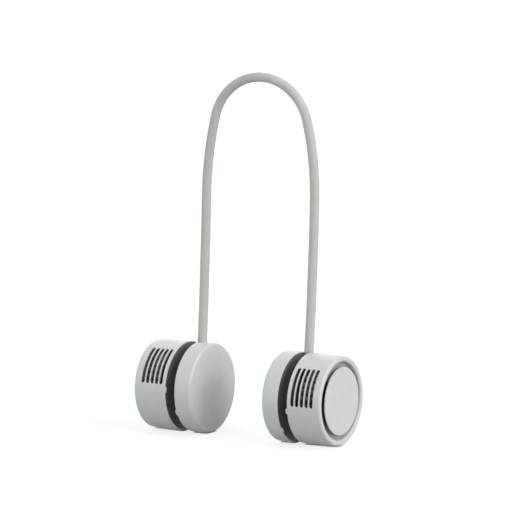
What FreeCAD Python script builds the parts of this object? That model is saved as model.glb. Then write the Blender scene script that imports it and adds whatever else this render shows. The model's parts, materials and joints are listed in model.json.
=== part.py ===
import FreeCAD, Part
import math
import os

from FreeCAD import Vector

# Neck fan: two round blower pods on one bendable neckband that is worn round the neck.
# Each pod is a fixed puck (battery, controls) and a blower drum that swivels on it to aim its slots.
# The pieces are laid out about the line through both pods, which is the X axis, with +Y to the back
# and +Z up. On saving they move so that the origin is where the neckband rests on the neck.
# Distances along a pod are counted outwards from the puck's flat inner face.
# Angles round a pod are counted from the front (-Y) upwards.

# Pod
pod_gap = 58.8
pod_radius = 32.5
puck_width = 13.2
groove_width = 7.8
drum_width = 26.4
drum_draft = 0.5
mouth_wall = 0.7
plate_ledge = 0.6
plate_thick = 2.0
plate_recess = 0.4
plate_play = 0.1
running_gap = 0.3
cut_past = 3.0

# Puck
face_thick = 1.8
face_round = 2.0
puck_mark_angle = {"left": -27.0, "right": -38.0}
mark_length = 1.1
mark_arc = 3.8
board_post_radius = 2.0
board_post_margin = 3.0
board_post_angles = (20.0, 130.0, 235.0)

# Drum
rim_round = 1.5
rim_width = 4.7
rim_inner_round = 1.0
recess_depth = 3.6
slot_pitch = 3.8
slot_width = 2.8
slot_first = 4.0
slot_sweep = 53.0
slot_end_margin = 0.3
slot_angle = {"left": 36.0, "right": 24.5}
drum_mark_below_slots = 33.0

# Inlet ring and cap
inlet_thick = 1.2
eye_cover = 2.3
inlet_gap = 3.4
cap_thick = 1.1
cap_proud = 0.3
cap_round = 0.4
cap_post_count = 3
cap_post_turn = -25.0
cap_post_radius = 1.6
cap_post_inset = 5.4
cap_pin_radius = 0.9
cap_lug_margin = 1.2

# Swivel
hub_bore = 11.5
hub_wall = 3.5
hub_web = 1.5
spindle_bore = 8.0
spindle_wall = 3.5
spindle_play = 0.08
ring_cord = 1.15
ring_stand = 0.05
retainer_lip = 2.5
retainer_thick = 1.5
stop_reach = 0.7
stop_ear_arc = 8.0
stop_play_arc = 1.5
swivel_low = -5.0
swivel_high = 85.0
screw_angles = (50.0, 170.0, 290.0)
screw_radius = 0.8
screw_head_radius = 1.6
screw_head_height = 1.0
screw_length = 4.6
spindle_screw_inset = 1.3

# Motor
mount_wall = 1.2
mount_disc = 1.2
mount_foot_width = 3.2
mount_foot_thick = 1.0
mount_foot_screw_length = 2.4
motor_board_inset = 0.8
motor_board_thick = 0.8
bush_radius = 2.6
bush_end = 0.4
shaft_radius = 1.0
shaft_play = 0.04
stator_lift = 1.6
stator_height = 5.0
stator_radius = 10.6
stator_core_radius = 4.8
tooth_count = 9
tooth_width = 1.6
tooth_tip = 1.0
tooth_tip_arc = 30.0
coil_thick = 0.9
air_gap = 0.3
magnet_thick = 1.1
can_wall = 0.8
can_lift = 0.6
can_headroom = 1.4

# Impeller and the scroll round it
scroll_room = 4.0
hub_cup_wall = 1.2
impeller_disc = 1.0
impeller_lift = 0.6
impeller_ring_width = 1.6
impeller_ring_thick = 1.0
impeller_top_gap = 1.0
blade_count = 32
blade_depth = 5.0
blade_thick = 0.8
blade_lean = 9.0
blade_bow = 3.0
tongue_gap = 0.6
scroll_end_thick = 0.6
scroll_slot_margin = 6.0
scroll_arcs = 4

# Puck contents: the socket faces down, the button faces back
port_way = Vector(0, 0, -1)
button_way = Vector(0, 1, 0)
battery_gap = 0.8
battery_margin = 8.6
battery_round = 1.0
board_plate_gap = 1.8
board_thick = 1.0
board_margin = 2.6
port_width = 8.94
port_height = 3.26
port_depth = 7.35
port_wall = 0.3
port_recess = 0.9
tongue_width = 6.69
tongue_thick = 0.7
tongue_setback = 0.6
button_length = 10.0
button_width = 5.0
button_proud = 0.8
button_travel = 0.5
button_skirt = 1.0
button_flange = 0.9
switch_length = 4.5
switch_width = 3.0
switch_depth = 3.0
plunger_radius = 0.9
plunger_length = 1.0
light_angle = 150.0
light_radius = 0.9
light_length = 4.6
light_stand = 0.1

# Neckband
sleeve_radius = 3.4
sleeve_bore = 2.1
crown_radius = 39.0
crown_half_angle = 76.0
crown_height = 186.3
crown_setback = 18.0
shoulder_out = 6.96
knee_back = 14.6
knee_height = 86.0
knee_reach = 26.0
foot_past_puck = 1.7
foot_back = 9.0
foot_depth = 10.5
wire_radius = 0.6
cable_radius = 0.75
core_shift = 0.95
core_short = 1.5
socket_wall = 1.2
socket_cover = 7.0
socket_shell_gap = 0.2

# Sizes that follow from the ones above
sides = ("left", "right")
mouth_radius = pod_radius - mouth_wall
inner_radius = mouth_radius - plate_ledge
plate_radius = mouth_radius - plate_play
recess_radius = pod_radius - rim_width
cap_radius = recess_radius - inlet_gap
cap_post_circle = cap_radius - cap_post_inset
cap_lug_radius = cap_post_radius + cap_lug_margin
eye_radius = cap_radius - eye_cover
drum_start = puck_width + groove_width
drum_end = drum_start + drum_width
inlet_top = drum_end - recess_depth
inlet_under = inlet_top - inlet_thick
slot_room = inlet_under - slot_end_margin - slot_width / 2 - drum_start - slot_first
slot_count = int(slot_room / slot_pitch) + 1
puck_plate_end = puck_width - plate_recess
puck_plate_start = puck_plate_end - plate_thick
drum_plate_start = drum_start + plate_recess
drum_plate_end = drum_plate_start + plate_thick
hub_radius = hub_bore + hub_wall
hub_screw_circle = hub_bore + hub_wall / 2
hub_end = drum_plate_start - running_gap
spindle_radius = spindle_bore + spindle_wall
spindle_screw_circle = spindle_bore + spindle_screw_inset
spindle_end = drum_plate_end + running_gap
retainer_radius = spindle_radius + retainer_lip
retainer_end = spindle_end + retainer_thick
mount_inner = retainer_radius + stop_reach + running_gap
mount_radius = mount_inner + mount_wall
mount_under = retainer_end + screw_head_height + running_gap
mount_top = mount_under + mount_disc
motor_board_top = mount_top + motor_board_thick
stator_start = motor_board_top + stator_lift
stator_end = stator_start + stator_height
magnet_inner = stator_radius + air_gap
can_inner = magnet_inner + magnet_thick
can_radius = can_inner + can_wall
motor_board_radius = can_radius - motor_board_inset
can_start = motor_board_top + can_lift
can_under = stator_end + can_headroom
can_end = can_under + can_wall
hub_cup_radius = can_radius + hub_cup_wall
impeller_radius = inner_radius - scroll_room
impeller_start = mount_top + impeller_lift
impeller_end = inlet_under - impeller_top_gap
board_end = puck_plate_start - board_plate_gap
board_start = board_end - board_thick
battery_end = board_start - battery_gap
board_edge = inner_radius - board_margin
centre_line = board_start - port_height / 2
neck_rest = Vector(0, crown_setback, crown_height + crown_radius - sleeve_radius)
leg_spread = crown_radius * math.sin(math.radians(crown_half_angle)) + shoulder_out
leg_knee = Vector(leg_spread, knee_back, knee_height)
leg_foot = Vector(pod_gap / 2 + puck_width + foot_past_puck, foot_back, pod_radius - foot_depth)
socket_root = leg_foot.z - hub_bore
core_tail = socket_root - core_short


def round_point(along, radius, angle):
    """A point at an angle round the pod, counted from the front upwards."""
    turn = math.radians(angle)
    return Vector(along, -radius * math.cos(turn), radius * math.sin(turn))


def rod(start, end, radius, across=0.0, angle=0.0):
    """A round bar along the pod, off its axis by a distance at an angle."""
    return Part.makeCylinder(radius, end - start, round_point(start, across, angle), Vector(1, 0, 0))


def tube(start, end, radius, bore):
    """A plain ring about the pod's axis."""
    return rod(start, end, radius).cut(rod(start, end, bore))


def turned(outline):
    """A turned solid from points given as distance along the pod and radius."""
    points = [Vector(along, 0, radius) for along, radius in outline]
    face = Part.Face(Part.makePolygon(points + points[:1]))
    return face.revolve(Vector(0, 0, 0), Vector(1, 0, 0), 360)


def turn_to(shape, angle):
    """Turn a shape about the pod's axis so that what faced front faces the angle."""
    return shape.rotated(Vector(0, 0, 0), Vector(1, 0, 0), -angle)


def sector(start, end, outer, inner, low, high):
    """Part of a ring between two angles."""
    corners = [(start, inner), (end, inner), (end, outer), (start, outer)]
    points = [round_point(along, radius, low) for along, radius in corners]
    face = Part.Face(Part.makePolygon(points + points[:1]))
    return face.revolve(Vector(0, 0, 0), Vector(-1, 0, 0), high - low)


def joined(shapes):
    """One clean solid from shapes that overlap or meet."""
    return shapes[0].multiFuse(shapes[1:]).removeSplitter()


def round_edges(shape, along, radius, size):
    """Round the full circular edges that lie at one place along the pod."""
    edges = []
    for edge in shape.Edges:
        circle = isinstance(edge.Curve, Part.Circle)
        if circle and abs(edge.Curve.Radius - radius) < 0.01 and abs(edge.CenterOfMass.x - along) < 0.01:
            edges.append(edge)
    return shape.makeFillet(size, edges)


def oval(length, width, start, depth, along, direction):
    """A bar with an oval section, long across the pod, run along a direction from the pod's axis."""
    straight = (length - width) / 2
    half = width / 2
    side = direction.cross(Vector(1, 0, 0))
    base = Vector(along, 0, 0) + direction * start
    reach = Vector(half, 0, 0)
    first = Part.LineSegment(base - side * straight + reach, base + side * straight + reach)
    top = Part.Arc(first.EndPoint, base + side * (straight + half), base + side * straight - reach)
    second = Part.LineSegment(top.EndPoint, base - side * straight - reach)
    low = Part.Arc(second.EndPoint, base - side * (straight + half), first.StartPoint)
    wire = Part.Wire([edge.toShape() for edge in (first, top, second, low)])
    return Part.Face(wire).extrude(direction * depth)


def on_side(shape, side):
    """Stand a pod piece on the right, or mirrored on the left."""
    placed = shape.translated(Vector(pod_gap / 2, 0, 0))
    if side == "left":
        placed = placed.mirror(Vector(0, 0, 0), Vector(1, 0, 0))
    return placed


def save(name, shape):
    """Write one piece, moved so that the origin is on the neck rest."""
    shape.translated(-neck_rest).exportStep("parts/" + name + ".step")


def save_pod(name, side, shape):
    save(side + "_" + name, on_side(shape, side))


def save_drum(name, side, shape):
    save_pod(name, side, turn_to(shape, slot_angle[side]))


# Neckband: silicone sleeve over a bendable steel wire and a power cable, on one smooth line

def corner_arc(before, corner, after, reach):
    """The arc that rounds a corner, touching both runs at the same reach from it."""
    back = (before - corner).normalize()
    ahead = (after - corner).normalize()
    half = back.getAngle(ahead) / 2
    middle = (back + ahead).normalize() * (reach / math.cos(half) - reach * math.tan(half))
    return Part.Arc(corner + back * reach, corner + middle, corner + ahead * reach)


def mirrored(point):
    return Vector(-point.x, point.y, point.z)


def neck_line(shift, tail):
    """The neckband's line, shifted front to back, with its ends drawn out by a tail."""
    turn = math.radians(crown_half_angle)
    crown_centre = Vector(0, crown_setback, crown_height)
    crown_end = crown_centre + Vector(math.sin(turn), 0, math.cos(turn)) * crown_radius
    crown_run = (leg_spread - crown_end.x) / math.cos(turn)
    shoulder = crown_end + Vector(math.cos(turn), 0, -math.sin(turn)) * crown_run
    foot = leg_foot + (leg_foot - leg_knee).normalize() * tail
    knee = corner_arc(foot, leg_knee, shoulder, knee_reach)
    bend = corner_arc(leg_knee, shoulder, crown_end, crown_run)
    crown_top = crown_centre + Vector(0, 0, crown_radius)
    right = [
        Part.LineSegment(foot, knee.StartPoint),
        knee,
        Part.LineSegment(knee.EndPoint, bend.StartPoint),
        bend,
    ]
    crown = Part.Arc(bend.EndPoint, crown_top, mirrored(bend.EndPoint))
    left = [
        corner_arc(mirrored(crown_end), mirrored(shoulder), mirrored(leg_knee), crown_run),
        Part.LineSegment(mirrored(bend.StartPoint), mirrored(knee.EndPoint)),
        corner_arc(mirrored(shoulder), mirrored(leg_knee), mirrored(foot), knee_reach),
        Part.LineSegment(mirrored(knee.StartPoint), mirrored(foot)),
    ]
    wire = Part.Wire([curve.toShape() for curve in right + [crown] + left])
    return wire.translated(Vector(0, shift, 0))


def swept(line, radius):
    """A round bar along a line."""
    start = line.Edges[0]
    direction = start.tangentAt(start.FirstParameter)
    circle = Part.Circle(start.valueAt(start.FirstParameter), direction, radius)
    return line.makePipeShell([Part.Wire(circle.toShape())], True, False)


def neck_sleeve():
    line = neck_line(0, 0)
    return swept(line, sleeve_radius).cut(swept(line, sleeve_bore))


def leg_axis():
    """Foot of the right leg in the pod's own frame, and the way it runs up."""
    foot = leg_foot - Vector(pod_gap / 2, 0, 0)
    return foot, (leg_knee - leg_foot).normalize()


def along_leg(start, end, radius):
    foot, upwards = leg_axis()
    return Part.makeCylinder(radius, end - start, foot + upwards * start, upwards)


# Puck: flat-faced cup, closed on the groove side by a dark plate

def puck_shell(side):
    shell = turned([
        (0, 0),
        (0, pod_radius),
        (puck_width, pod_radius),
        (puck_width, mouth_radius),
        (puck_plate_start, mouth_radius),
        (puck_plate_start, inner_radius),
        (face_thick, inner_radius),
        (face_thick, 0),
    ])
    shell = round_edges(shell, 0, pod_radius, face_round)
    half_mark = math.degrees(mark_arc / pod_radius) / 2
    low = puck_mark_angle[side] - half_mark
    high = puck_mark_angle[side] + half_mark
    mark = sector(puck_width, puck_width + mark_length, pod_radius, mouth_radius, low, high)
    posts = [
        rod(face_thick, board_start, board_post_radius, board_edge - board_post_margin, angle)
        for angle in board_post_angles
    ]
    shell = joined([shell, mark] + posts)
    notch = along_leg(0, pod_radius, sleeve_radius + socket_shell_gap)
    shell = shell.cut(notch)
    if side == "right":
        for opening in (port_opening(), button_opening(), light_bar()):
            shell = shell.cut(opening)
    return shell


def puck_plate():
    plate = tube(puck_plate_start, puck_plate_end, plate_radius, hub_bore)
    for angle in screw_angles:
        plate = plate.cut(rod(puck_plate_start, puck_plate_end, screw_radius, hub_screw_circle, angle))
    passage = along_leg(-socket_root, pod_radius, sleeve_radius + socket_wall + plate_play)
    return plate.cut(passage)


# Swivel: hollow spindle on the puck's plate, trapped in the drum's plate by a screwed-on retainer

def waist_hub():
    barrel = rod(puck_plate_end, hub_end, hub_radius)
    spindle = rod(hub_end, spindle_end, spindle_radius)
    socket = along_leg(-socket_root, socket_cover, sleeve_radius + socket_wall)
    socket = socket.common(rod(board_end + plate_play, hub_end, inner_radius - socket_shell_gap))
    hub = joined([barrel, spindle, socket])
    hub = hub.cut(rod(0, hub_end - hub_web, hub_bore))
    hub = hub.cut(rod(0, spindle_end, spindle_bore))
    hub = hub.cut(along_leg(0, pod_radius, sleeve_radius))
    hub = hub.cut(along_leg(-socket_root - core_tail, 0, sleeve_bore))
    ring_start = (drum_plate_start + drum_plate_end - ring_cord) / 2
    hub = hub.cut(tube(ring_start, ring_start + ring_cord, hub_radius, ring_seat_radius()))
    for angle in screw_angles:
        near = puck_plate_end + screw_length - plate_thick
        hub = hub.cut(rod(puck_plate_end, near, screw_radius, hub_screw_circle, angle))
        far = spindle_end + retainer_thick - screw_length
        hub = hub.cut(rod(far, spindle_end, screw_radius, spindle_screw_circle, angle))
    return hub


def ring_seat_radius():
    return spindle_radius + ring_stand - ring_cord


def friction_ring():
    place = Vector((drum_plate_start + drum_plate_end) / 2, 0, 0)
    return Part.makeTorus(ring_seat_radius() + ring_cord / 2, ring_cord / 2, place, Vector(1, 0, 0))


def swivel_retainer():
    disc = tube(spindle_end, retainer_end, retainer_radius, spindle_bore)
    middle = (swivel_low + swivel_high) / 2
    low = middle - stop_ear_arc / 2
    high = middle + stop_ear_arc / 2
    ear = sector(spindle_end, retainer_end, retainer_radius + stop_reach, spindle_radius, low, high)
    disc = joined([disc, ear])
    for angle in screw_angles:
        disc = disc.cut(rod(spindle_end, retainer_end, screw_radius, spindle_screw_circle, angle))
    return disc


def screw(head_face, length, across, angle, way):
    """A pan-head screw with its head on a face, running inwards along the pod or outwards."""
    if way > 0:
        shank = rod(head_face, head_face + length, screw_radius, across, angle)
        head = rod(head_face - screw_head_height, head_face, screw_head_radius, across, angle)
    else:
        shank = rod(head_face - length, head_face, screw_radius, across, angle)
        head = rod(head_face, head_face + screw_head_height, screw_head_radius, across, angle)
    return joined([shank, head])


def swivel_screws():
    screws = []
    for angle in screw_angles:
        screws.append(screw(puck_plate_start, screw_length, hub_screw_circle, angle, 1))
        screws.append(screw(retainer_end, screw_length, spindle_screw_circle, angle, -1))
    return Part.makeCompound(screws)


# Drum: drafted cup with outlet slots round its side, and a sunk inlet ring behind a round cap

def drum_shell():
    end_radius = pod_radius - drum_draft
    shell = turned([
        (drum_start, mouth_radius),
        (drum_start, pod_radius),
        (drum_end, end_radius),
        (drum_end, recess_radius),
        (inlet_top, recess_radius),
        (inlet_top, inner_radius),
        (drum_plate_end, inner_radius),
        (drum_plate_end, mouth_radius),
    ])
    shell = round_edges(shell, drum_end, end_radius, rim_round)
    shell = round_edges(shell, drum_end, recess_radius, rim_inner_round)
    half_mark = math.degrees(mark_arc / pod_radius) / 2
    low = -drum_mark_below_slots - half_mark
    high = -drum_mark_below_slots + half_mark
    mark = sector(drum_start - mark_length, drum_start, pod_radius, mouth_radius, low, high)
    shell = joined([shell, mark])
    for place in slot_places():
        shell = shell.cut(outlet_slot(place))
    return shell


def slot_places():
    return [drum_start + slot_first + slot_pitch * count for count in range(slot_count)]


def outlet_slot(place):
    """A slot round the drum's side with round ends, cut from past its outside to past its inside."""
    half = slot_width / 2
    outside = pod_radius + cut_past
    inside = inner_radius - cut_past
    end_angle = slot_sweep / 2 - math.degrees(half / pod_radius)
    middle = sector(place - half, place + half, outside, inside, -end_angle, end_angle)
    ends = []
    for angle in (-end_angle, end_angle):
        foot = round_point(place, inside, angle)
        ends.append(Part.makeCylinder(half, outside - inside, foot, round_point(0, 1, angle)))
    return joined([middle] + ends)


def cap_post_angles():
    return [cap_post_turn + 360.0 / cap_post_count * (count + 0.5) for count in range(cap_post_count)]


def cap_lug(angle):
    """A round-ended tongue in from the inlet's edge that carries one post of the cap."""
    length = eye_radius + cap_lug_radius - cap_post_circle
    bar = Part.makeBox(inlet_thick, length, 2 * cap_lug_radius)
    bar.translate(Vector(inlet_under, -cap_post_circle - length, -cap_lug_radius))
    tip = rod(inlet_under, inlet_top, cap_lug_radius, cap_post_circle)
    return turn_to(joined([bar, tip]), angle)


def inlet_ring():
    """Ring behind the cap with the air inlet in it, held against the drum's shoulder by the scroll insert."""
    ring = tube(inlet_under, inlet_top, inner_radius - plate_play, eye_radius)
    ring = joined([ring] + [cap_lug(angle) for angle in cap_post_angles()])
    for angle in cap_post_angles():
        ring = ring.cut(rod(inlet_under, inlet_top, cap_pin_radius, cap_post_circle, angle))
    return ring


def inlet_cap():
    face = drum_end + cap_proud
    cap = rod(face - cap_thick, face, cap_radius)
    cap = round_edges(cap, face, cap_radius, cap_round)
    stands = []
    for angle in cap_post_angles():
        stands.append(rod(inlet_top, face - cap_thick, cap_post_radius, cap_post_circle, angle))
        stands.append(rod(inlet_under, inlet_top, cap_pin_radius, cap_post_circle, angle))
    return joined([cap] + stands)


def drum_plate():
    plate = tube(drum_plate_start, drum_plate_end, plate_radius, spindle_radius + spindle_play)
    for angle in screw_angles:
        plate = plate.cut(mount_screw(angle))
    return plate


def scroll_insert():
    """Crescent that guides the air round to the slots: thick at its tongue, thin at its end."""
    low = slot_sweep / 2 + scroll_slot_margin
    high = 360 - low
    tongue = impeller_radius + tongue_gap
    end = inner_radius - scroll_end_thick

    def spiral(share):
        return round_point(drum_plate_end, tongue + (end - tongue) * share, low + (high - low) * share)

    edges = []
    for count in range(scroll_arcs):
        step = 1.0 / scroll_arcs
        first = spiral(count * step)
        edges.append(Part.Arc(first, spiral((count + 0.5) * step), spiral((count + 1) * step)))
    outer = [round_point(drum_plate_end, inner_radius, angle) for angle in (high, 180, low)]
    edges.append(Part.LineSegment(spiral(1), outer[0]))
    edges.append(Part.Arc(*outer))
    edges.append(Part.LineSegment(outer[2], spiral(0)))
    face = Part.Face(Part.Wire([edge.toShape() for edge in edges]))
    return face.extrude(Vector(inlet_under - drum_plate_end, 0, 0))


# Motor: bridge over the swivel, a bush pressed in it, a wound stator, and a magnet rotor in the impeller

def motor_mount():
    mount = turned([
        (drum_plate_end, mount_inner),
        (mount_under, mount_inner),
        (mount_under, bush_radius),
        (mount_top, bush_radius),
        (mount_top, mount_radius),
        (drum_plate_end + mount_foot_thick, mount_radius),
        (drum_plate_end + mount_foot_thick, mount_radius + mount_foot_width),
        (drum_plate_end, mount_radius + mount_foot_width),
    ])
    swing = (swivel_high - swivel_low) / 2 + stop_ear_arc / 2 + stop_play_arc
    stop_outer = mount_inner + mount_wall / 2
    stop_end = mount_under + mount_disc / 2
    stop = sector(drum_plate_end, stop_end, stop_outer, retainer_radius + running_gap, swing, 360 - swing)
    mount = joined([mount, stop])
    for angle in screw_angles:
        mount = mount.cut(mount_screw(angle))
    return mount


def mount_screw(angle):
    across = mount_radius + mount_foot_width / 2
    return screw(drum_plate_end + mount_foot_thick, mount_foot_screw_length, across, angle, -1)


def mount_screws():
    return Part.makeCompound([mount_screw(angle) for angle in screw_angles])


def motor_board():
    return tube(mount_top, motor_board_top, motor_board_radius, bush_radius)


def bearing_bush():
    bush = rod(mount_under, stator_end, bush_radius)
    return bush.cut(rod(mount_under + bush_end, stator_end, shaft_radius + shaft_play))


def stator_core():
    pieces = [tube(stator_start, stator_end, stator_core_radius, bush_radius)]
    root = (bush_radius + stator_core_radius) / 2
    tip_root = stator_radius - tooth_tip
    neck = Part.makeBox(stator_height, tooth_width, stator_radius)
    neck.translate(Vector(stator_start, -tooth_width / 2, root))
    neck = neck.common(rod(stator_start, stator_end, stator_radius))
    for count in range(tooth_count):
        angle = 360.0 / tooth_count * count
        pieces.append(turn_to(neck, angle))
        low = 90 + angle - tooth_tip_arc / 2
        high = low + tooth_tip_arc
        pieces.append(sector(stator_start, stator_end, stator_radius, tip_root, low, high))
    return joined(pieces)


def stator_coils():
    """One flat coil round the neck of each tooth."""
    inner = stator_core_radius * math.cos(math.pi / tooth_count) + coil_thick
    outer = stator_radius - tooth_tip
    outer = math.sqrt(outer ** 2 - (tooth_width / 2 + coil_thick) ** 2)
    window = Part.makeBox(stator_height, tooth_width, outer - inner)
    window.translate(Vector(stator_start, -tooth_width / 2, inner))
    coil = Part.makeBox(stator_height + 2 * coil_thick, tooth_width + 2 * coil_thick, outer - inner)
    coil.translate(Vector(stator_start - coil_thick, -tooth_width / 2 - coil_thick, inner))
    coil = coil.cut(window)
    return Part.makeCompound([turn_to(coil, 360.0 / tooth_count * count) for count in range(tooth_count)])


def motor_shaft():
    return rod(mount_under + bush_end + shaft_play, can_end, shaft_radius)


def magnet_ring():
    return tube(stator_start - coil_thick / 2, stator_end + coil_thick / 2, can_inner, magnet_inner)


def rotor_can():
    return turned([
        (can_start, can_inner),
        (can_start, can_radius),
        (can_end, can_radius),
        (can_end, shaft_radius),
        (can_under, shaft_radius),
        (can_under, can_inner),
    ])


def impeller_blade():
    """One forward-curved blade, bowed between its inner and outer edge, a thickness wide all along."""
    inner = impeller_radius - blade_depth
    middle = impeller_radius - blade_depth / 2
    start = impeller_start + impeller_disc / 2
    places = ((inner, 0), (middle, blade_lean / 2 - blade_bow), (impeller_radius, blade_lean))
    front = [round_point(start, radius, angle) for radius, angle in places]
    back = [
        round_point(start, radius, angle + math.degrees(blade_thick / radius))
        for radius, angle in reversed(places)
    ]
    edges = [
        Part.Arc(*front),
        Part.LineSegment(front[2], back[0]),
        Part.Arc(*back),
        Part.LineSegment(back[2], front[0]),
    ]
    face = Part.Face(Part.Wire([edge.toShape() for edge in edges]))
    return face.extrude(Vector(impeller_end - impeller_ring_thick / 2 - start, 0, 0))


def impeller():
    hub = turned([
        (impeller_start, can_radius),
        (impeller_start, impeller_radius),
        (impeller_start + impeller_disc, impeller_radius),
        (impeller_start + impeller_disc, hub_cup_radius),
        (can_end + hub_cup_wall, hub_cup_radius),
        (can_end + hub_cup_wall, 0),
        (can_end, 0),
        (can_end, can_radius),
    ])
    ring_start = impeller_end - impeller_ring_thick
    ring = tube(ring_start, impeller_end, impeller_radius, impeller_radius - impeller_ring_width)
    blade = impeller_blade()
    blades = [turn_to(blade, 360.0 / blade_count * count) for count in range(blade_count)]
    return joined([hub, ring] + blades)


# Puck contents: a round cell in each, and on the right the control board with what is fixed to it

def battery_cell():
    radius = inner_radius - battery_margin
    return round_edges(rod(face_thick, battery_end, radius), battery_end, radius, battery_round)


def control_board():
    return tube(board_start, board_end, board_edge, hub_bore)


def port_mouth():
    return pod_radius - port_recess


def port_opening():
    length = port_width + 2 * plate_play
    return oval(length, port_height + 2 * plate_play, board_edge / 2, pod_radius, centre_line, port_way)


def charge_port():
    start = port_mouth() - port_depth
    shell = oval(port_width, port_height, start, port_depth, centre_line, port_way)
    inside_length = port_width - 2 * port_wall
    inside = oval(
        inside_length, port_height - 2 * port_wall, start + port_wall, port_depth, centre_line, port_way
    )
    return shell.cut(inside)


def port_tongue():
    start = port_mouth() - port_depth + port_wall
    depth = port_depth - port_wall - tongue_setback
    tongue = Part.makeBox(tongue_thick, tongue_width, depth)
    return tongue.translated(Vector(centre_line - tongue_thick / 2, -tongue_width / 2, -start - depth))


def button_opening():
    length = button_length + 2 * running_gap
    width = button_width + 2 * running_gap
    return oval(length, width, board_edge / 2, pod_radius, centre_line, button_way)


def button_inner_face():
    return inner_radius - running_gap - button_flange


def power_button():
    stem = oval(button_length, button_width, board_edge / 2, pod_radius, centre_line, button_way)
    stem = stem.common(tube(0, puck_width, pod_radius + button_proud, button_inner_face()))
    length = button_length + 2 * (running_gap + button_skirt)
    width = button_width + 2 * (running_gap + button_skirt)
    flange = oval(length, width, board_edge / 2, pod_radius, centre_line, button_way)
    flange = flange.common(
        tube(face_thick + running_gap, board_start, inner_radius - running_gap, button_inner_face())
    )
    return joined([stem, flange])


def tact_switch():
    plunger_end = button_inner_face() - button_travel - running_gap
    body_end = plunger_end - plunger_length
    body = Part.makeBox(switch_width, switch_depth, switch_length)
    body.translate(Vector(board_start - switch_width, body_end - switch_depth, -switch_length / 2))
    plunger = Part.makeCylinder(
        plunger_radius, plunger_length, Vector(board_start - switch_width / 2, body_end, 0), button_way
    )
    return joined([body, plunger])


def light_bar():
    """Round light guide through the puck's side, beside the button."""
    outwards = round_point(0, 1, light_angle)
    start = round_point(centre_line, pod_radius + light_stand - light_length, light_angle)
    return Part.makeCylinder(light_radius, light_length, start, outwards)


os.makedirs("parts", exist_ok=True)

sleeve = neck_sleeve()
sleeve_length = neck_line(0, 0).Length
sleeve_area = math.pi * (sleeve_radius ** 2 - sleeve_bore ** 2)
print("sleeve length", round(sleeve_length, 1))
print("sleeve volume over section times length", round(sleeve.Volume / sleeve_area / sleeve_length, 4))
save("neck_sleeve", sleeve)
save("memory_wire", swept(neck_line(-core_shift, core_tail), wire_radius))
save("power_cable", swept(neck_line(core_shift, core_tail), cable_radius))

pod_pieces = {
    "puck_plate": puck_plate,
    "waist_hub": waist_hub,
    "friction_ring": friction_ring,
    "swivel_retainer": swivel_retainer,
    "swivel_screws": swivel_screws,
    "battery_cell": battery_cell,
}
drum_pieces = {
    "drum_shell": drum_shell,
    "drum_plate": drum_plate,
    "inlet_ring": inlet_ring,
    "inlet_cap": inlet_cap,
    "scroll_insert": scroll_insert,
    "motor_mount": motor_mount,
    "mount_screws": mount_screws,
    "motor_board": motor_board,
    "bearing_bush": bearing_bush,
    "stator_core": stator_core,
    "stator_coils": stator_coils,
    "motor_shaft": motor_shaft,
    "magnet_ring": magnet_ring,
    "rotor_can": rotor_can,
    "impeller": impeller,
}
for side in sides:
    save_pod("puck_shell", side, puck_shell(side))
for name, make in pod_pieces.items():
    piece = make()
    for side in sides:
        save_pod(name, side, piece)
for name, make in drum_pieces.items():
    piece = make()
    for side in sides:
        save_drum(name, side, piece)

save_pod("control_board", "right", control_board())
save_pod("charge_port", "right", charge_port())
save_pod("port_tongue", "right", port_tongue())
save_pod("tact_switch", "right", tact_switch())
save_pod("light_guide", "right", light_bar())
save_pod("power_button", "right", power_button())
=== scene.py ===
import json
import math

import bmesh
import bpy
from mathutils import Matrix, Vector


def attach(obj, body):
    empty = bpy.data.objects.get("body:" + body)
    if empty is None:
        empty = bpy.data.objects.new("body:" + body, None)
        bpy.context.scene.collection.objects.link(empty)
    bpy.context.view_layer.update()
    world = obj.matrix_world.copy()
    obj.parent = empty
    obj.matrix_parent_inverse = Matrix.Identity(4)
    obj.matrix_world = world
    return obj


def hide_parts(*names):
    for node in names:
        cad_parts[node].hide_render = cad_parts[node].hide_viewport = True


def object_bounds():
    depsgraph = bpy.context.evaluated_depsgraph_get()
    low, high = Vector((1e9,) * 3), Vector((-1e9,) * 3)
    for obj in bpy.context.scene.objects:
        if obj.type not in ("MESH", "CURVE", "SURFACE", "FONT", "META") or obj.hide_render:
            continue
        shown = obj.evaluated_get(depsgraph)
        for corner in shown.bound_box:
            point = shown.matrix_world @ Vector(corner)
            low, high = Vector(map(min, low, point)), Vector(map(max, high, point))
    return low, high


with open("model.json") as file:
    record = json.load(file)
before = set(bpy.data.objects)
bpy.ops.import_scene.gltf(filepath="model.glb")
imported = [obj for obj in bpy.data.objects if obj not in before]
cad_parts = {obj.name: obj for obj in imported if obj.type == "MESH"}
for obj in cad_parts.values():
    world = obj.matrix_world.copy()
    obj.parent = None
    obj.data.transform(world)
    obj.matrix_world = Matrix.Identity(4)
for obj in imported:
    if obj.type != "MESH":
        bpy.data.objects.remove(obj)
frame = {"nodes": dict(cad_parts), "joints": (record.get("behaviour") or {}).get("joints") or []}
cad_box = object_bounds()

# Puck shells: the fixed half of each pod, a flat-faced cup moulded in pale grey plastic with a matte grain.
# A notch in the groove edge lets the neckband in, and a tab beside it marks the drum's middle setting.
# The right one also has the openings for its button, charging socket and light.
mm = 0.001
merge_distance = 0.001 * mm
pod_radius = 32.5 * mm
pod_gap = 58.8 * mm
puck_width = 13.2 * mm
mouth_radius = 31.8 * mm
inner_radius = 31.2 * mm
plate_ledge = 10.8 * mm
face_thick = 1.8 * mm
face_round = 2.0 * mm
edge_round = 0.3 * mm
mouth_round = 0.15 * mm
round_steps = 5
turn_steps = 192
sharp_angle = math.radians(50)
mark_length = 1.1 * mm
mark_arc = 3.8 * mm
mark_root = 1.0 * mm
mark_inset = 0.05 * mm
mark_round = 0.25 * mm
mark_round_steps = 3
puck_mark_angle = {"left": math.radians(-27), "right": math.radians(-38)}
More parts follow.
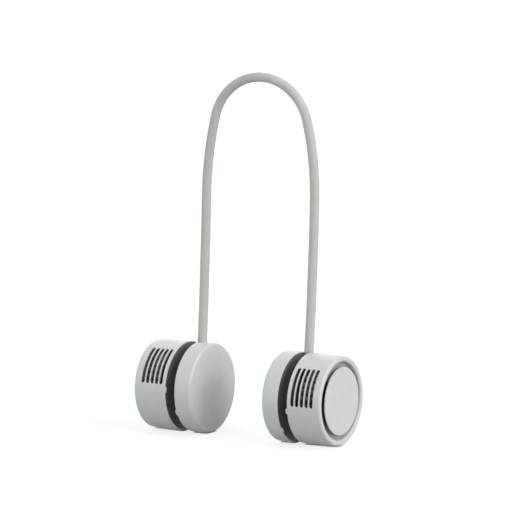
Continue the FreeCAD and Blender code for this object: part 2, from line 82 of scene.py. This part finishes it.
leg_foot = Vector((14.9, 9.0, 22.0)) * mm
leg_knee = Vector((15.4, 14.6, 86.0)) * mm
notch_radius = 3.6 * mm
bar_segments = 64
control_line = 6.37 * mm
button_length = 10.0 * mm
button_width = 5.0 * mm
button_clearance = 0.3 * mm
button_angle = math.pi
port_length = 9.14 * mm
port_width = 3.46 * mm
port_angle = math.radians(-90)
light_angle = math.radians(150)
light_hole = 0.92 * mm
opening_lip = 0.25 * mm
lip_turns = [math.radians(turn) for turn in (0, 30, 60)]
lip_over = 0.3
lip_flare = 1.6
cut_past = 3.0 * mm
oval_segments = 24
oval_bends = 24
plastic_ior = 1.5
noise_low = 0.3
noise_high = 0.7
mottle_size = 9 * mm
mottle_detail = 3
gloss_size = 14 * mm
gloss_detail = 4
gloss_change = 0.05
grain_detail = 5
grain_strength = 0.5
sides = ("left", "right")

joint_places = {joint["name"]: joint.get("pos_m") for joint in frame["joints"]}
pod_axis = Vector((0, joint_places["right_drum_swivel"][1], joint_places["right_drum_swivel"][2]))


def turned(outline, rounds):
    """A shell turned about the pod's axis, from points given as distance along the pod and radius."""
    shell = bmesh.new()
    corners = [shell.verts.new((along, 0, radius)) for along, radius in outline]
    shell.faces.new(corners)
    for corner, size in rounds.items():
        bmesh.ops.bevel(shell, geom=[corners[corner]], offset=size, offset_type="OFFSET",
                        segments=round_steps, profile=0.5, affect="VERTICES", material=-1)
    bmesh.ops.delete(shell, geom=shell.faces[:], context="FACES_ONLY")
    along_axis = [edge for edge in shell.edges if max(vert.co.z for vert in edge.verts) < merge_distance]
    bmesh.ops.delete(shell, geom=along_axis, context="EDGES")
    bmesh.ops.spin(shell, geom=shell.verts[:] + shell.edges[:], cent=(0, 0, 0), axis=(1, 0, 0),
                   angle=2 * math.pi, steps=turn_steps, use_merge=True)
    bmesh.ops.remove_doubles(shell, verts=shell.verts[:], dist=merge_distance)
    bmesh.ops.recalc_face_normals(shell, faces=shell.faces[:])
    return shell


def add_oval(block, length, width, height, bends):
    """One level of an oval block: a circle drawn out to the oval's length, with its long sides divided."""
    turn = Matrix.Rotation(math.pi / oval_segments, 4, "Z")
    place = Matrix.Translation((0, 0, height)) @ turn
    made = bmesh.ops.create_circle(block, segments=oval_segments, radius=width / 2, matrix=place)
    ring = made["verts"]
    for way in (-1, 1):
        half = [vert for vert in ring if vert.co.y * way > 0]
        bmesh.ops.translate(block, verts=half, vec=(0, way * (length - width) / 2, 0))
    edges = {edge for vert in ring for edge in vert.link_edges}
    long_sides = [edge for edge in edges if edge.verts[0].co.y * edge.verts[1].co.y < 0]
    bmesh.ops.subdivide_edges(block, edges=long_sides, cuts=bends)


def edges_among(verts):
    """The edges that join two of these points."""
    inside = set(verts)
    edges = {edge for vert in verts for edge in vert.link_edges}
    return [edge for edge in edges if edge.verts[0] in inside and edge.verts[1] in inside]


def level_verts(block, height):
    """The points of one level of a block."""
    return [vert for vert in block.verts if abs(vert.co.z - height) < merge_distance]


def oval_block(length, width, levels, place, angle=0.0, bends=oval_bends):
    """An oval block wrapped round the pod's axis; each level is a radius and the oval's growth there."""
    block = bmesh.new()
    for radius, grow in levels:
        add_oval(block, length + 2 * grow, width + 2 * grow, radius, bends)
    heights = [radius for radius, grow in levels]
    for lower, upper in zip(heights, heights[1:]):
        rings = [edges_among(level_verts(block, height)) for height in (lower, upper)]
        bmesh.ops.bridge_loops(block, edges=rings[0] + rings[1])
    for height in (heights[0], heights[-1]):
        bmesh.ops.edgeloop_fill(block, edges=edges_among(level_verts(block, height)))
        ring = level_verts(block, height)
        near = sorted((vert for vert in ring if vert.co.x > 0), key=lambda vert: vert.co.y)
        far = sorted((vert for vert in ring if vert.co.x < 0), key=lambda vert: vert.co.y)
        for pair in list(zip(near, far))[1:-1]:
            bmesh.ops.connect_verts(block, verts=pair)
    for vert in block.verts:
        turn = angle + vert.co.y / pod_radius
        radius = vert.co.z
        vert.co = (place + vert.co.x, -radius * math.cos(turn), radius * math.sin(turn))
    bmesh.ops.recalc_face_normals(block, faces=block.faces[:])
    return block


def lip_levels(inside, surface, lip):
    """Levels of an opening's tool: straight walls, then a rounded lip that runs out through the surface."""
    rounded = [(surface - lip + lip * math.sin(turn), lip * (1 - math.cos(turn))) for turn in lip_turns]
    flare = lip_flare * lip
    return [(inside, 0.0)] + rounded + [(surface + lip_over * lip, flare), (surface + cut_past, flare)]


def round_bar(foot, direction, length, radius):
    """A plain round bar, used as a tool or a post."""
    bar = bmesh.new()
    turn = direction.to_track_quat("Z", "Y").to_matrix().to_4x4()
    place = Matrix.Translation(foot + direction.normalized() * length / 2) @ turn
    bmesh.ops.create_cone(bar, cap_ends=True, segments=bar_segments, radius1=radius, radius2=radius,
                          depth=length, matrix=place)
    return bar


def mark_tab(start, end, angle):
    """The small tab that stands out of a groove edge."""
    tab = bmesh.new()
    bmesh.ops.create_cube(tab, size=1)
    depth = pod_radius - mouth_radius - 2 * mark_inset
    bmesh.ops.scale(tab, vec=(end - start, mark_arc, depth), verts=tab.verts[:])
    bmesh.ops.bevel(tab, geom=tab.edges[:], offset=mark_round, offset_type="OFFSET",
                    segments=mark_round_steps, profile=0.5, affect="EDGES", material=-1)
    middle = ((start + end) / 2, 0, (pod_radius + mouth_radius) / 2)
    bmesh.ops.translate(tab, verts=tab.verts[:], vec=middle)
    across = Matrix.Rotation(math.pi / 2 - angle, 4, "X")
    bmesh.ops.transform(tab, matrix=across, verts=tab.verts[:])
    return tab


def bench_object(name, mesh_work):
    """An object in the scene, made from finished mesh work."""
    mesh = bpy.data.meshes.new(name)
    mesh_work.to_mesh(mesh)
    mesh_work.free()
    bench = bpy.data.objects.new(name, mesh)
    bpy.context.scene.collection.objects.link(bench)
    return bench


def work(piece, tools, operation):
    """Cut tools out of a piece, or join them to it, for good."""
    for tool in tools:
        if tool.calc_volume(signed=True) < 0:
            bmesh.ops.reverse_faces(tool, faces=tool.faces[:])
        bench = bench_object("tool", tool)
        step = piece.modifiers.new("step", "BOOLEAN")
        step.object = bench
        step.operation = operation
        step.solver = "EXACT"
        done = piece.evaluated_get(bpy.context.evaluated_depsgraph_get())
        worked = bpy.data.meshes.new_from_object(done)
        piece.modifiers.clear()
        blank = piece.data
        piece.data = worked
        bpy.data.meshes.remove(blank)
        bpy.data.meshes.remove(bench.data)


def stand_on_pod(piece, side, turn=0.0):
    """Move a piece from the pod's own frame, where distances count from the puck's face, to its pod."""
    hand = Matrix.Diagonal((-1 if side == "left" else 1, 1, 1, 1))
    place = Matrix.Translation(pod_axis) @ hand @ Matrix.Translation((pod_gap / 2, 0, 0))
    piece.data.transform(place @ Matrix.Rotation(-turn, 4, "X"))
    if side == "left":
        piece.data.flip_normals()


def finish_moulding(piece, material):
    """Smooth shading that keeps flat faces flat and runs over the rounded edges."""
    piece.data.materials.clear()
    piece.data.materials.append(material)
    piece.data.shade_smooth()
    piece.data.set_sharp_from_angle(angle=sharp_angle)
    weighted = piece.modifiers.new("even_faces", "WEIGHTED_NORMAL")
    weighted.mode = "FACE_AREA"
    weighted.keep_sharp = True


def moulded(name, colour, roughness, grain_size, grain_depth, mottle=0.025):
    """Moulded plastic or rubber: a spark-eroded grain, a faintly uneven gloss and a faint mottle."""
    material = bpy.data.materials.new(name)
    material.use_nodes = True
    tree = material.node_tree
    shader = tree.nodes["Principled BSDF"]
    shader.inputs["IOR"].default_value = plastic_ior
    place = tree.nodes.new("ShaderNodeTexCoord").outputs["Object"]

    def noise(size, detail):
        node = tree.nodes.new("ShaderNodeTexNoise")
        node.inputs["Scale"].default_value = 1 / size
        node.inputs["Detail"].default_value = detail
        tree.links.new(place, node.inputs["Vector"])
        return node.outputs["Fac"]

    def spread(factor, low, high):
        node = tree.nodes.new("ShaderNodeMapRange")
        node.inputs["From Min"].default_value = noise_low
        node.inputs["From Max"].default_value = noise_high
        node.inputs["To Min"].default_value = low
        node.inputs["To Max"].default_value = high
        tree.links.new(factor, node.inputs["Value"])
        return node.outputs["Result"]

    tint = tree.nodes.new("ShaderNodeMix")
    tint.data_type = "RGBA"
    tint.inputs["A"].default_value = (*[part * (1 - mottle) for part in colour], 1)
    tint.inputs["B"].default_value = (*[part * (1 + mottle) for part in colour], 1)
    tree.links.new(spread(noise(mottle_size, mottle_detail), 0, 1), tint.inputs["Factor"])
    tree.links.new(tint.outputs["Result"], shader.inputs["Base Color"])
    gloss = spread(noise(gloss_size, gloss_detail), roughness - gloss_change, roughness + gloss_change)
    tree.links.new(gloss, shader.inputs["Roughness"])
    bump = tree.nodes.new("ShaderNodeBump")
    bump.inputs["Strength"].default_value = grain_strength
    bump.inputs["Distance"].default_value = grain_depth
    tree.links.new(noise(grain_size, grain_detail), bump.inputs["Height"])
    tree.links.new(bump.outputs["Normal"], shader.inputs["Normal"])
    return material


shell_plastic = moulded("shell_plastic", colour=(0.60, 0.61, 0.61), roughness=0.48,
                        grain_size=0.35 * mm, grain_depth=0.02 * mm)

puck_outline = [
    (0, 0),
    (0, pod_radius),
    (puck_width, pod_radius),
    (puck_width, mouth_radius),
    (plate_ledge, mouth_radius),
    (plate_ledge, inner_radius),
    (face_thick, inner_radius),
    (face_thick, 0),
]
puck_rounds = {1: face_round, 2: edge_round, 3: mouth_round}
for side in sides:
    puck = bench_object(side + "_puck", turned(puck_outline, puck_rounds))
    mark = mark_tab(puck_width - mark_root, puck_width + mark_length, puck_mark_angle[side])
    work(puck, [mark], "UNION")
    openings = [round_bar(leg_foot, leg_knee - leg_foot, pod_radius, notch_radius)]
    if side == "right":
        below = lip_levels(inner_radius - cut_past, pod_radius, opening_lip)
        openings.append(oval_block(port_length, port_width, below, control_line, port_angle))
        key_length = button_length + 2 * button_clearance
        key_width = button_width + 2 * button_clearance
        openings.append(oval_block(key_length, key_width, below, control_line, button_angle))
        light_way = Vector((0, -math.cos(light_angle), math.sin(light_angle)))
        light_foot = Vector((control_line, 0, 0)) + light_way * (inner_radius - cut_past)
        openings.append(round_bar(light_foot, light_way, 3 * cut_past, light_hole))
    work(puck, openings, "DIFFERENCE")
    stand_on_pod(puck, side)
    finish_moulding(puck, shell_plastic)
    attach(puck, "neckband")
    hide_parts(side + "_puck_shell")

# Power button: a moulded oval key in the back of the right puck, bowed like the puck's side.
# A flange behind the shell keeps it in, and it slides straight in to press its switch.
button_foot = 30.0 * mm
button_flange = 30.9 * mm
button_skirt = 1.0 * mm
button_proud = 0.8 * mm
button_round = 0.5 * mm
button_turns = [math.radians(turn) for turn in (22, 45, 68, 90)]
button_dish = 0.12 * mm
button_dish_inset = 2.0 * mm

button_top = pod_radius + button_proud
button_shoulder = button_top - button_round
button_levels = [(button_foot, 0.0), (button_shoulder, 0.0)]
for turn in button_turns:
    rise = button_round * math.sin(turn)
    button_levels.append((button_shoulder + rise, -button_round * (1 - math.cos(turn))))
button_levels.append((button_top - button_dish, -button_dish_inset))
key = oval_block(button_length, button_width, button_levels, control_line, button_angle)
button = bench_object("button_key", key)
flange_grow = button_clearance + button_skirt
flange_levels = [(button_foot, flange_grow), (button_flange, flange_grow)]
flange = oval_block(button_length, button_width, flange_levels, control_line, button_angle)
work(button, [flange], "UNION")
stand_on_pod(button, "right")
button_plastic = moulded("button_plastic", colour=(0.55, 0.56, 0.56), roughness=0.44,
                         grain_size=0.3 * mm, grain_depth=0.015 * mm)
finish_moulding(button, button_plastic)
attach(button, "power_button")
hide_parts("right_power_button")

# Puck contents: a foil-wrapped cell in each puck. The right one also holds a laminate control board with a
# switch behind the button, a deep-drawn steel charging socket with its tongue, and a frosted light guide
# that is pressed through the side.
streak_depth = 0.004 * mm
metal_mottle = 0.05
frosted_light = 0.4


def dress(material, *names):
    """Give CAD pieces their finish."""
    for name in names:
        frame["nodes"][name].data.materials.clear()
        frame["nodes"][name].data.materials.append(material)


def metal(name, colour, roughness, streak_size):
    """Bare metal with the faint streaks and uneven gloss of drawing, turning or winding."""
    material = moulded(name, colour, roughness, streak_size, streak_depth, metal_mottle)
    material.node_tree.nodes["Principled BSDF"].inputs["Metallic"].default_value = 1.0
    return material


steel = metal("steel", colour=(0.55, 0.55, 0.56), roughness=0.3, streak_size=0.25 * mm)
battery_foil = metal("battery_foil", colour=(0.6, 0.61, 0.63), roughness=0.38, streak_size=1.2 * mm)
circuit_board = moulded("circuit_board", colour=(0.03, 0.14, 0.07), roughness=0.4,
                        grain_size=0.6 * mm, grain_depth=0.01 * mm, mottle=0.12)
inner_plastic = moulded("inner_plastic", colour=(0.03, 0.03, 0.032), roughness=0.5,
                        grain_size=0.4 * mm, grain_depth=0.02 * mm, mottle=0.06)
clear_plastic = moulded("clear_plastic", colour=(0.8, 0.81, 0.8), roughness=0.3,
                        grain_size=0.3 * mm, grain_depth=0.01 * mm)
clear_shader = clear_plastic.node_tree.nodes["Principled BSDF"]
clear_shader.inputs["Transmission Weight"].default_value = frosted_light
dress(battery_foil, "left_battery_cell", "right_battery_cell")
dress(circuit_board, "right_control_board")
dress(steel, "right_charge_port")
dress(inner_plastic, "right_port_tongue", "right_tact_switch")
dress(clear_plastic, "right_light_guide")

# Waist: charcoal plates close the puck and the drum, and a charcoal hub between them carries the spindle.
# A rubber ring drags on the spindle, so that the drum stays where it is turned. Screws hold the retainer.
dark_plastic = moulded("dark_plastic", colour=(0.18, 0.18, 0.188), roughness=0.34,
                       grain_size=0.4 * mm, grain_depth=0.008 * mm, mottle=0.06)
seal_rubber = moulded("seal_rubber", colour=(0.02, 0.02, 0.02), roughness=0.6,
                      grain_size=0.3 * mm, grain_depth=0.01 * mm, mottle=0.1)
for side in sides:
    dress(dark_plastic, side + "_puck_plate", side + "_waist_hub", side + "_drum_plate")
    dress(inner_plastic, side + "_swivel_retainer")
    dress(seal_rubber, side + "_friction_ring")
    dress(steel, side + "_swivel_screws")

# Drum shells: the turning half of each pod, a cup moulded with a slight draft in the same pale plastic.
# Five round-ended outlet slots run round its side, and a shoulder behind its rim holds an inlet ring of mid
# grey, which is partly painted shade for the recess around the cap.
drum_start = 21.0 * mm
drum_width = 26.4 * mm
drum_draft = 0.5 * mm
drum_ledge = 23.4 * mm
rim_round = 1.5 * mm
rim_inner = 27.8 * mm
rim_inner_round = 2.0 * mm
recess_depth = 3.6 * mm
slot_count = 5
slot_first = 4.0 * mm
slot_pitch = 3.8 * mm
slot_width = 2.8 * mm
slot_sweep = math.radians(53)
slot_lip = 0.12 * mm
slot_bends = 48
drum_turn = {"left": math.radians(36), "right": math.radians(24.5)}
drum_mark_angle = math.radians(-33)

drum_end = drum_start + drum_width
ring_seat = drum_end - recess_depth
slot_length = slot_sweep * pod_radius
drum_outline = [
    (drum_start, mouth_radius),
    (drum_start, pod_radius),
    (drum_end, pod_radius - drum_draft),
    (drum_end, rim_inner),
    (ring_seat, rim_inner),
    (ring_seat, inner_radius),
    (drum_ledge, inner_radius),
    (drum_ledge, mouth_radius),
]
drum_rounds = {0: mouth_round, 1: edge_round, 2: rim_round, 3: rim_inner_round}
# The inlet ring's mid grey is partly painted shade: darker than the shell, it stands in for the shade in
# the recess around the cap.
ring_plastic = moulded("ring_plastic", colour=(0.33, 0.335, 0.335), roughness=0.5,
                       grain_size=0.35 * mm, grain_depth=0.02 * mm)

for side in sides:
    drum = bench_object(side + "_drum_case", turned(drum_outline, drum_rounds))
    mark = mark_tab(drum_start - mark_length, drum_start + mark_root, drum_mark_angle)
    work(drum, [mark], "UNION")
    openings = []
    for count in range(slot_count):
        slot_line = slot_first + slot_pitch * count
        surface = pod_radius - drum_draft * slot_line / drum_width
        levels = lip_levels(inner_radius - cut_past, surface, slot_lip)
        place = drum_start + slot_line
        openings.append(oval_block(slot_length, slot_width, levels, place, bends=slot_bends))
    work(drum, openings, "DIFFERENCE")
    stand_on_pod(drum, side, drum_turn[side])
    finish_moulding(drum, shell_plastic)
    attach(drum, side + "_drum")
    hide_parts(side + "_drum_shell")
    dress(ring_plastic, side + "_inlet_ring")
    dress(inner_plastic, side + "_scroll_insert")

# Motors: a dark moulded bridge over each swivel holds a pressed-in brass bush, a small board and a stator
# of steel wound with copper. Screws fix the bridge to the drum's plate.
bush_brass = metal("bush_brass", colour=(0.7, 0.52, 0.25), roughness=0.35, streak_size=0.3 * mm)
copper_wire = metal("copper_wire", colour=(0.62, 0.28, 0.14), roughness=0.32, streak_size=0.2 * mm)
for side in sides:
    dress(inner_plastic, side + "_motor_mount")
    dress(steel, side + "_mount_screws", side + "_stator_core")
    dress(circuit_board, side + "_motor_board")
    dress(bush_brass, side + "_bearing_bush")
    dress(copper_wire, side + "_stator_coils")

# Rotors: a steel shaft and can with a sintered magnet ring inside, pressed into a blower wheel with
# thirty-two forward-curved blades. It is moulded in dark warm grey plastic, kept darker still as painted
# shade, and shows through the slots.
magnet = metal("magnet", colour=(0.08, 0.08, 0.085), roughness=0.5, streak_size=0.5 * mm)
# The wheel's near-black colour is partly painted shade: it stands in for the shade inside the drum behind
# the slots.
impeller_plastic = moulded("impeller_plastic", colour=(0.065, 0.056, 0.047), roughness=0.42,
                           grain_size=0.4 * mm, grain_depth=0.015 * mm, mottle=0.05)
for side in sides:
    dress(steel, side + "_motor_shaft", side + "_rotor_can")
    dress(magnet, side + "_magnet_ring")
    dress(impeller_plastic, side + "_impeller")

# Inlet caps: a flat disc over each air inlet, moulded with three posts in the same pale plastic.
# The posts' pins are pressed into the ring's lugs, and air goes in all round under the disc's edge.
cap_radius = 24.4 * mm
cap_proud = 0.3 * mm
cap_thick = 1.1 * mm
cap_round = 0.5 * mm
cap_under_round = 0.3 * mm
cap_post_radius = 1.6 * mm
cap_post_circle = 19.0 * mm
cap_pin_radius = 0.9 * mm
cap_pin_length = 1.2 * mm
cap_post_angles = [math.radians(part) for part in (35, 155, 275)]

pod_way = Vector((1, 0, 0))
cap_face = drum_end + cap_proud
cap_under = cap_face - cap_thick
cap_outline = [(cap_face, 0), (cap_face, cap_radius), (cap_under, cap_radius), (cap_under, 0)]
post_height = cap_under + cap_thick / 2 - ring_seat
pin_reach = cap_pin_length + post_height / 2
for side in sides:
    cap = bench_object(side + "_cap", turned(cap_outline, {1: cap_round, 2: cap_under_round}))
    posts = []
    for angle in cap_post_angles:
        across = Vector((0, -math.cos(angle), math.sin(angle))) * cap_post_circle
        post_foot = Vector((ring_seat, 0, 0)) + across
        posts.append(round_bar(post_foot, pod_way, post_height, cap_post_radius))
        pin_foot = Vector((ring_seat - cap_pin_length, 0, 0)) + across
        posts.append(round_bar(pin_foot, pod_way, pin_reach, cap_pin_radius))
    work(cap, posts, "UNION")
    stand_on_pod(cap, side, drum_turn[side])
    finish_moulding(cap, shell_plastic)
    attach(cap, side + "_drum")
    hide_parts(side + "_inlet_cap")

# Neckband: one soft silicone tube, bent into a tall arch over a steel wire that keeps the bend and a power
# cable. Each end is pushed into a socket on the hub of its pod.
sleeve_radius = 3.4 * mm
sleeve_wall = 1.3 * mm
sleeve_segments = 48
crown_radius = 39.0 * mm
crown_half_angle = math.radians(76)
shoulder_out = 6.96 * mm
knee_reach = 26.0 * mm
bend_step = math.radians(3)

foot = pod_axis + Vector((pod_gap / 2, 0, 0)) + leg_foot
knee = pod_axis + Vector((pod_gap / 2, 0, 0)) + leg_knee
crown_centre = Vector((0, 0, sleeve_radius - crown_radius))
outwards = Vector((math.sin(crown_half_angle), 0, math.cos(crown_half_angle)))
downwards = Vector((math.cos(crown_half_angle), 0, -math.sin(crown_half_angle)))
crown_end = crown_centre + outwards * crown_radius
shoulder_reach = shoulder_out / math.cos(crown_half_angle)
shoulder = crown_end + downwards * shoulder_reach


def run_tube(tube, ring, way):
    """Draw the tube's open end straight on."""
    drawn = bmesh.ops.extrude_edge_only(tube, edges=ring)["geom"]
    end = [part for part in drawn if isinstance(part, bmesh.types.BMVert)]
    bmesh.ops.translate(tube, verts=end, vec=way)
    return edges_among(end)


def bend_tube(tube, ring, centre, axis, angle):
    """Draw the tube's open end round a bend."""
    ends = list({vert for edge in ring for vert in edge.verts})
    bent = bmesh.ops.spin(tube, geom=ring + ends, cent=centre, axis=axis, angle=angle,
                          steps=math.ceil(angle / bend_step))["geom_last"]
    return edges_among([part for part in bent if isinstance(part, bmesh.types.BMVert)])


def round_corner(tube, ring, before, corner, after, reach):
    """Bend the tube round a corner of its line, starting and ending at the same reach from it."""
    back = (before - corner).normalized()
    ahead = (after - corner).normalized()
    half = back.angle(ahead) / 2
    centre = corner + (back + ahead).normalized() * reach / math.cos(half)
    axis = back.cross(corner + back * reach - centre)
    return bend_tube(tube, ring, centre, axis, math.pi - 2 * half)


tube = bmesh.new()
leg_way = (knee - foot).normalized()
start = Matrix.Translation(foot) @ leg_way.to_track_quat("Z", "Y").to_matrix().to_4x4()
bmesh.ops.create_circle(tube, segments=sleeve_segments, radius=sleeve_radius, matrix=start)
ring = tube.edges[:]
ring = run_tube(tube, ring, leg_way * ((knee - foot).length - knee_reach))
ring = round_corner(tube, ring, foot, knee, shoulder, knee_reach)
straight = (shoulder - knee).length - knee_reach - shoulder_reach
ring = run_tube(tube, ring, (shoulder - knee).normalized() * straight)
ring = round_corner(tube, ring, knee, shoulder, crown_end, shoulder_reach)
bend_tube(tube, ring, crown_centre, Vector((0, -1, 0)), crown_half_angle)
half_tube = tube.verts[:] + tube.edges[:] + tube.faces[:]
bmesh.ops.mirror(tube, geom=half_tube, axis="X", merge_dist=merge_distance)
bmesh.ops.remove_doubles(tube, verts=tube.verts[:], dist=merge_distance)
bmesh.ops.recalc_face_normals(tube, faces=tube.faces[:])
bmesh.ops.solidify(tube, geom=tube.faces[:], thickness=sleeve_wall)
sleeve = bench_object("sleeve_tube", tube)
neck_silicone = moulded("neck_silicone", colour=(0.49, 0.49, 0.465), roughness=0.56,
                        grain_size=0.25 * mm, grain_depth=0.012 * mm, mottle=0.03)
finish_moulding(sleeve, neck_silicone)
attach(sleeve, "neckband")
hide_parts("neck_sleeve")
cable_jacket = moulded("cable_jacket", colour=(0.03, 0.03, 0.03), roughness=0.5,
                       grain_size=0.3 * mm, grain_depth=0.01 * mm, mottle=0.1)
dress(steel, "memory_wire")
dress(cable_jacket, "power_cable")

# Studio: a white floor under the pods with a painted contact shadow where they stand, an even pale
# surround, and five broad soft lamps: from above, from the right and the upper right, from the front left
# and from the back left.
# The camera stands at the front, on the right and a little above the pods.
floor_half = 20.0
floor_seen = (0.30, 0.30, 0.30)
floor_lift = 0.77
floor_returned = (0.45, 0.465, 0.48)
# How far the floor's painted contact shadow reaches from the pods.
painted_shadow_reach = 1.2 * mm
# For each lamp: the way to it, its spread in degrees, its strength and its colour.
lamps = {
    "top": (Vector((0.0, 0.0, 1.0)), 60, 0.95, (1.0, 0.998, 0.98)),
    "side": (Vector((0.985, 0.0, 0.174)), 40, 1.6, (1.0, 0.998, 0.97)),
    "upper_side": (Vector((0.819, 0.0, 0.574)), 40, 1.15, (1.0, 0.998, 0.97)),
    "front": (Vector((-0.3, -0.94, 0.14)), 60, 1.8, (0.98, 1.0, 1.015)),
    "back": (Vector((-0.62, 0.74, 0.25)), 60, 1.2, (1.0, 1.0, 1.0)),
}
surround = 0.145
surround_colour = (0.92, 0.975, 1.0)
backdrop_colour = (0.98, 0.98, 0.98)
camera_turn = math.radians(30.38)
camera_lift = math.radians(8.36)
camera_distance = 3.094
camera_target = Vector((0, -18.0, -134.4)) * mm
camera_lens = 304.1
camera_shift = (0.0150, 0.0297)
camera_far = 100.0


def is_seen(tree):
    """1 for rays that show the set, also in a mirror or through glass, and 0 for those that carry light."""
    rays = tree.nodes.new("ShaderNodeLightPath")
    seen = rays.outputs["Is Camera Ray"]
    for kind in ("Is Glossy Ray", "Is Transmission Ray"):
        larger = tree.nodes.new("ShaderNodeMath")
        larger.operation = "MAXIMUM"
        tree.links.new(seen, larger.inputs[0])
        tree.links.new(rays.outputs[kind], larger.inputs[1])
        seen = larger.outputs["Value"]
    return seen


floor_mesh = bmesh.new()
floor_place = Matrix.Translation((0, 0, cad_box[0].z))
bmesh.ops.create_grid(floor_mesh, x_segments=1, y_segments=1, size=floor_half, matrix=floor_place)
floor = bench_object("floor", floor_mesh)
floor_paper = bpy.data.materials.new("floor_paper")
floor_paper.use_nodes = True
paper = floor_paper.node_tree
paper.nodes.remove(paper.nodes["Principled BSDF"])
shown = paper.nodes.new("ShaderNodeBsdfDiffuse")
shown.inputs["Color"].default_value = (*floor_seen, 1)
returned = paper.nodes.new("ShaderNodeBsdfDiffuse")
returned.inputs["Color"].default_value = (*floor_returned, 1)
# Painted contact shadow: the camera sees the floor's glow darkened by ambient occlusion close to the pods.
painted_contact_shadow = paper.nodes.new("ShaderNodeAmbientOcclusion")
painted_contact_shadow.inputs["Distance"].default_value = painted_shadow_reach
lift = paper.nodes.new("ShaderNodeEmission")
lift.inputs["Strength"].default_value = floor_lift
paper.links.new(painted_contact_shadow.outputs["Color"], lift.inputs["Color"])
lifted = paper.nodes.new("ShaderNodeAddShader")
paper.links.new(shown.outputs["BSDF"], lifted.inputs[0])
paper.links.new(lift.outputs["Emission"], lifted.inputs[1])
floor_choice = paper.nodes.new("ShaderNodeMixShader")
paper.links.new(is_seen(paper), floor_choice.inputs["Fac"])
paper.links.new(returned.outputs["BSDF"], floor_choice.inputs[1])
paper.links.new(lifted.outputs["Shader"], floor_choice.inputs[2])
paper.links.new(floor_choice.outputs["Shader"], paper.nodes["Material Output"].inputs["Surface"])
floor.data.materials.append(floor_paper)

for name, (direction, spread, strength, colour) in lamps.items():
    lamp = bpy.data.objects.new(name, bpy.data.lights.new(name, "SUN"))
    lamp.data.energy = strength
    lamp.data.angle = math.radians(spread)
    lamp.data.color = colour
    lamp.rotation_euler = direction.to_track_quat("Z", "Y").to_euler()
    bpy.context.scene.collection.objects.link(lamp)

world = bpy.data.worlds.new("surround")
world.use_nodes = True
bpy.context.scene.world = world
sky = world.node_tree
glow = sky.nodes["Background"]
glow.inputs["Color"].default_value = (*surround_colour, 1)
glow.inputs["Strength"].default_value = surround
backdrop = sky.nodes.new("ShaderNodeBackground")
backdrop.inputs["Color"].default_value = (*backdrop_colour, 1)
sky_choice = sky.nodes.new("ShaderNodeMixShader")
sky.links.new(is_seen(sky), sky_choice.inputs["Fac"])
sky.links.new(glow.outputs["Background"], sky_choice.inputs[1])
sky.links.new(backdrop.outputs["Background"], sky_choice.inputs[2])
sky.links.new(sky_choice.outputs["Shader"], sky.nodes["World Output"].inputs["Surface"])

camera = bpy.data.objects.new("camera", bpy.data.cameras.new("camera"))
camera_back = Vector((
    math.sin(camera_turn) * math.cos(camera_lift),
    -math.cos(camera_turn) * math.cos(camera_lift),
    math.sin(camera_lift),
))
camera.location = camera_target + camera_back * camera_distance
camera.rotation_euler = camera_back.to_track_quat("Z", "Y").to_euler()
camera.data.lens = camera_lens
camera.data.shift_x = camera_shift[0]
camera.data.shift_y = camera_shift[1]
camera.data.clip_end = camera_far
bpy.context.scene.collection.objects.link(camera)
bpy.context.scene.camera = camera
bpy.context.scene.view_settings.view_transform = "Standard"
